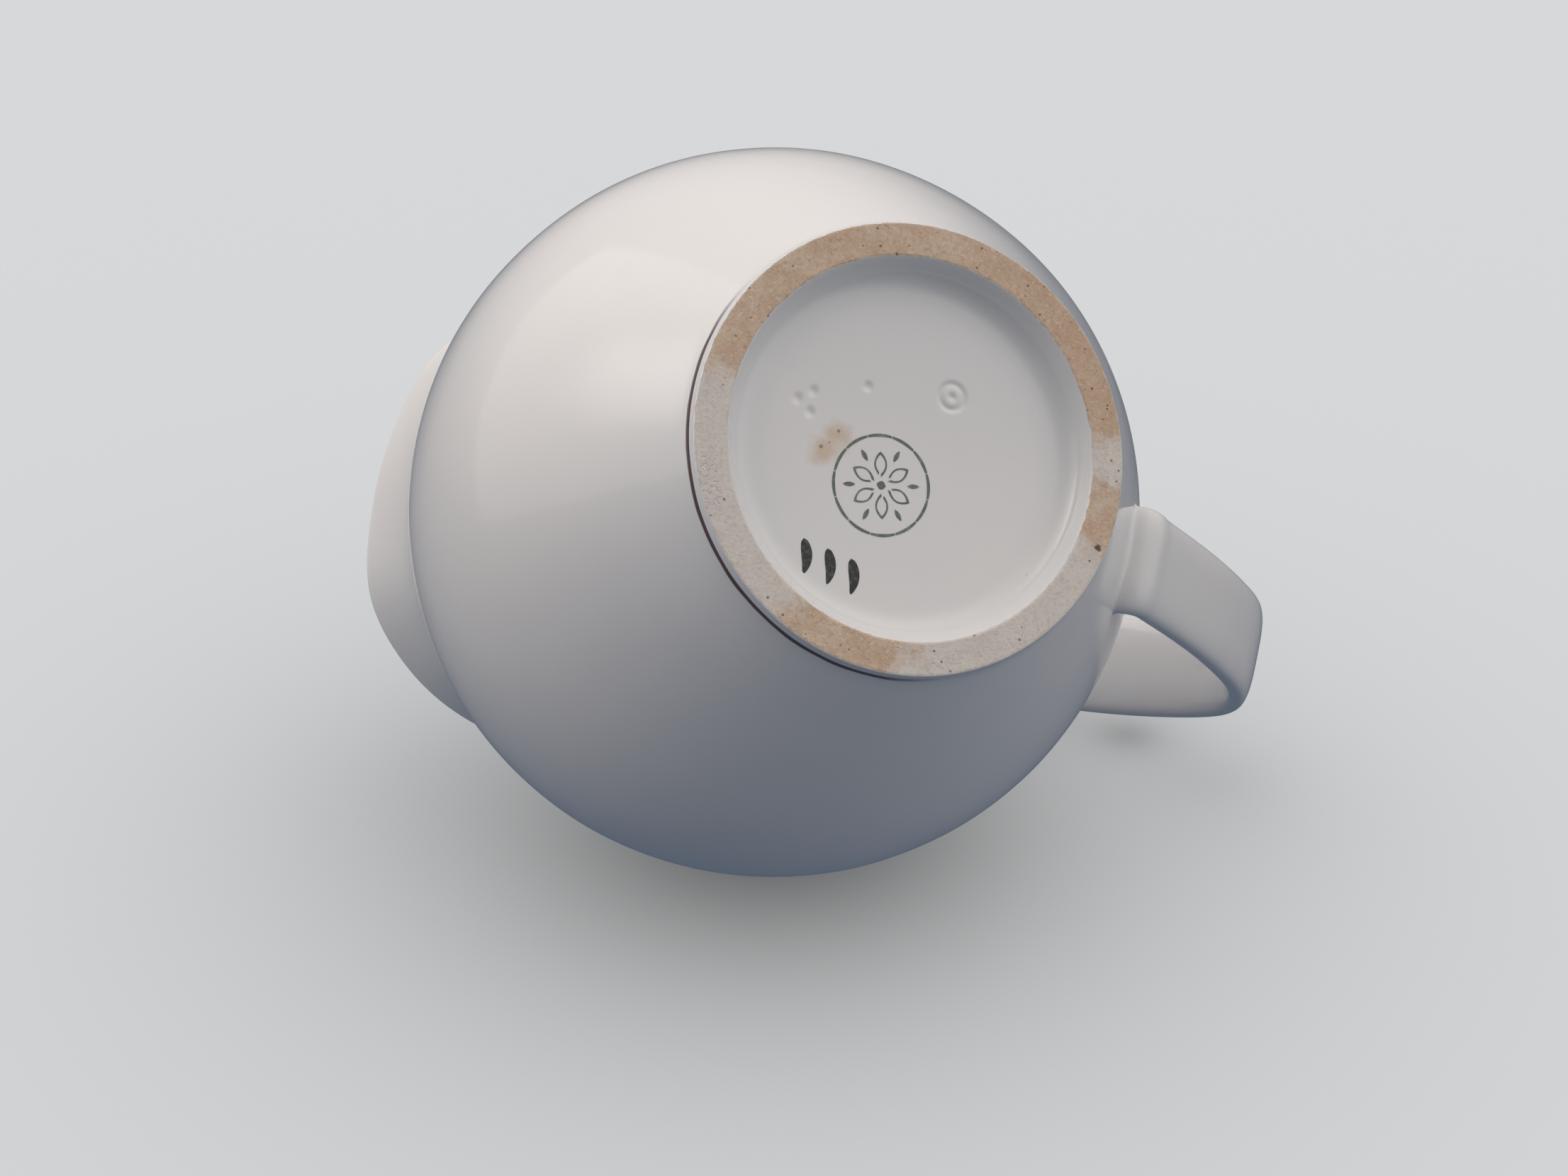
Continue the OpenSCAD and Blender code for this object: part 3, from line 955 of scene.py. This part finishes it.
def pale_floor(name):
    """A pale floor the colour of the backdrop, seen from above only. It carries a painted contact shadow,
    darker close under the foot.
    """
    mesh = bpy.data.meshes.new(name)
    turn = np.arange(FLOOR_CORNERS) * 2 * math.pi / FLOOR_CORNERS
    corners = [(FLOOR_RADIUS * math.cos(a), FLOOR_RADIUS * math.sin(a), -FLOOR_DROP) for a in turn]
    mesh.from_pydata(corners, [], [tuple(range(FLOOR_CORNERS))])
    floor = bpy.data.objects.new(name, mesh)
    bpy.context.scene.collection.objects.link(floor)
    material = bpy.data.materials.new(name)
    material.use_nodes = True
    nodes, links = material.node_tree.nodes, material.node_tree.links
    nodes.clear()
    # Painted contact shadow: two ambient occlusion shades, multiplied, tint the see-through floor
    shades = []
    for reach, share in ((FLOOR_CONTACT, FLOOR_DARKEST), (FLOOR_CONTACT / 4, FLOOR_DARKEST**0.5)):
        near = nodes.new("ShaderNodeAmbientOcclusion")
        near.samples = 24
        near.inputs["Distance"].default_value = reach
        ramp = nodes.new("ShaderNodeMapRange")
        ramp.inputs["From Min"].default_value = 0.1
        ramp.inputs["To Min"].default_value = share
        links.new(near.outputs["AO"], ramp.inputs["Value"])
        shades.append(ramp.outputs["Result"])
    both = nodes.new("ShaderNodeMath")
    both.operation = "MULTIPLY"
    links.new(shades[0], both.inputs[0])
    links.new(shades[1], both.inputs[1])
    shade = nodes.new("ShaderNodeCombineColor")
    for socket in shade.inputs:
        links.new(both.outputs[0], socket)
    tinted = nodes.new("ShaderNodeBsdfTransparent")
    links.new(shade.outputs["Color"], tinted.inputs["Color"])
    clear = nodes.new("ShaderNodeBsdfTransparent")
    side = nodes.new("ShaderNodeNewGeometry")
    pick = nodes.new("ShaderNodeMixShader")
    links.new(side.outputs["Backfacing"], pick.inputs["Fac"])
    links.new(tinted.outputs[0], pick.inputs[1])
    links.new(clear.outputs[0], pick.inputs[2])
    out = nodes.new("ShaderNodeOutputMaterial")
    links.new(pick.outputs[0], out.inputs["Surface"])
    mesh.materials.append(material)
    floor.visible_diffuse = False
    floor.visible_glossy = False
    floor.visible_transmission = False
    floor.visible_shadow = False


def softbox(name, direction, size, power, colour, mirrored=True):
    """A square lamp that faces the jug from a direction. One that isn't mirrored leaves no highlight."""
    data = bpy.data.lights.new(name, "AREA")
    data.shape = "RECTANGLE"
    data.size, data.size_y = size, size
    data.energy = power
    data.color = colour
    light = bpy.data.objects.new(name, data)
    bpy.context.scene.collection.objects.link(light)
    direction = direction.normalized()
    light.location = CENTRE + direction * LAMP_DISTANCE
    light.rotation_mode = "QUATERNION"
    light.rotation_quaternion = direction.to_track_quat("Z", "Y")
    light.visible_glossy = mirrored


def lying_shade(nodes, links, direction):
    """The painted shadow on the pale table that the lying jug rests on: how light the table is for each
    direction as seen by the camera.

    The table is the plane that touches the belly. Round bodies resting on it or hanging over it shade it
    by height * radius^2 / distance^3, each worked out where the direction meets the table.
    """

    def number(operation, first, second):
        node = nodes.new("ShaderNodeMath")
        node.operation = operation
        for socket, value in zip(node.inputs, (first, second)):
            if isinstance(value, bpy.types.NodeSocket):
                links.new(value, socket)
            else:
                socket.default_value = value
        return node.outputs[0]

    def arrow(operation, first, second, result):
        node = nodes.new("ShaderNodeVectorMath")
        node.operation = operation
        links.new(first, node.inputs[0])
        node.inputs[1].default_value = second
        return node.outputs[result]

    slope = arrow("DOT_PRODUCT", direction, TABLE_UP, "Value")
    away = (CAMERA_PLACE - TABLE_POINT).dot(TABLE_UP) / MM
    reach = number("DIVIDE", away, number("MAXIMUM", number("MULTIPLY", slope, -1.0), 1e-4))
    scaled = nodes.new("ShaderNodeVectorMath")
    scaled.operation = "SCALE"
    links.new(direction, scaled.inputs[0])
    links.new(reach, scaled.inputs["Scale"])
    light = 1.0
    for place, radius, share in TABLE_SHADERS:
        gap = arrow("ADD", scaled.outputs[0], (CAMERA_PLACE - place * MM) / MM, "Vector")
        distance = arrow("LENGTH", gap, (0, 0, 0), "Value")
        height = max((place * MM - TABLE_POINT).dot(TABLE_UP) / MM, 1.0)
        radius = min(radius, height)
        near = number("DIVIDE", height * radius**2 * share, number("POWER", distance, 3.0))
        light = number("MULTIPLY", light, number("SUBTRACT", 1.0, near))
    return light


def studio_world(glows):
    """Pale backdrop that carries the painted shadow of the lying jug on its table. The light it gives is a
    sum of wide soft glows: (direction, spread, colour).
    """
    world = bpy.data.worlds.new("studio")
    bpy.context.scene.world = world
    world.use_nodes = True
    nodes, links = world.node_tree.nodes, world.node_tree.links
    nodes.clear()
    place = nodes.new("ShaderNodeTexCoord")
    total = None
    for direction, spread, colour in glows:
        along = nodes.new("ShaderNodeVectorMath")
        along.operation = "DOT_PRODUCT"
        along.inputs[1].default_value = direction.normalized()
        links.new(place.outputs["Generated"], along.inputs[0])
        ramp = nodes.new("ShaderNodeMapRange")
        ramp.interpolation_type = "SMOOTHSTEP"
        ramp.inputs["From Min"].default_value = math.cos(math.radians(spread))
        ramp.inputs["From Max"].default_value = 1.0
        links.new(along.outputs["Value"], ramp.inputs["Value"])
        glow = nodes.new("ShaderNodeVectorMath")
        glow.operation = "SCALE"
        glow.inputs[0].default_value = colour
        links.new(ramp.outputs["Result"], glow.inputs["Scale"])
        if total is None:
            total = glow.outputs[0]
            continue
        joined = nodes.new("ShaderNodeVectorMath")
        joined.operation = "ADD"
        links.new(total, joined.inputs[0])
        links.new(glow.outputs[0], joined.inputs[1])
        total = joined.outputs[0]
    lit = nodes.new("ShaderNodeBackground")
    links.new(total, lit.inputs["Color"])
    seen = nodes.new("ShaderNodeBackground")
    seen.inputs["Color"].default_value = PALE
    # The backdrop the camera sees carries the painted shadow of the lying jug
    links.new(lying_shade(nodes, links, place.outputs["Generated"]), seen.inputs["Strength"])
    path = nodes.new("ShaderNodeLightPath")
    pick = nodes.new("ShaderNodeMixShader")
    links.new(path.outputs["Is Camera Ray"], pick.inputs["Fac"])
    links.new(lit.outputs[0], pick.inputs[1])
    links.new(seen.outputs[0], pick.inputs[2])
    out = nodes.new("ShaderNodeOutputWorld")
    links.new(pick.outputs[0], out.inputs["Surface"])


# The table under the lying jug, tilted towards the camera, and what shades it: (middle, radius, share)
TABLE_TILT = math.radians(27)
TABLE_UP = UP * math.cos(TABLE_TILT) + TOWARDS * math.sin(TABLE_TILT)
TABLE_POINT = CENTRE - TABLE_UP * BODY_RADIUS * MM
BODY_SHADE, STRAP_SHADE, LIP_SHADE = 0.85, 0.35, 0.6
LIP_MIDDLE, LIP_BULK = Vector((-0.7 * LIP_REACH, 0.3 * LIP_REACH, RIM_HEIGHT - 12)), 14
TABLE_SHADERS = [(CENTRE / MM, BODY_RADIUS, BODY_SHADE), (LIP_MIDDLE, LIP_BULK, LIP_SHADE)]
for away, height in STRAP_ROUTE[3:]:
    TABLE_SHADERS.append((Vector((away, STRAP_TOP_WIDTH / 4, height)), STRAP_TOP_WIDTH / 2, STRAP_SHADE))

KEY_SIDE = UP * 0.53 - RIGHT * 0.75 + TOWARDS * 0.22
RIGHT_SIDE = UP * 0.42 + RIGHT * 0.8 + TOWARDS * 0.42
LAMP_DISTANCE = 0.9

pale_floor("floor_upright")
studio_world(
    (
        (KEY_SIDE, 53, (0.50, 0.455, 0.42)),
        (KEY_SIDE, 22, (2.05, 1.95, 1.83)),
        (RIGHT_SIDE, 53, (0.98, 0.94, 0.90)),
        (UP, 78, (0.76, 0.72, 0.705)),
        (TOWARDS - UP * 0.4, 90, (0.104, 0.104, 0.115)),
        (-UP, 180, (0.038, 0.058, 0.090)),
        (-TOWARDS, 180, (0.055, 0.070, 0.095)),
    )
)
softbox("key_panel", KEY_SIDE, 1.2, 2.1, (1.0, 0.97, 0.95))
softbox("upright_overhead", -TOWARDS, 0.6, 4.0, (1.0, 0.99, 0.98), mirrored=False)

bpy.context.scene.view_settings.view_transform = "Standard"
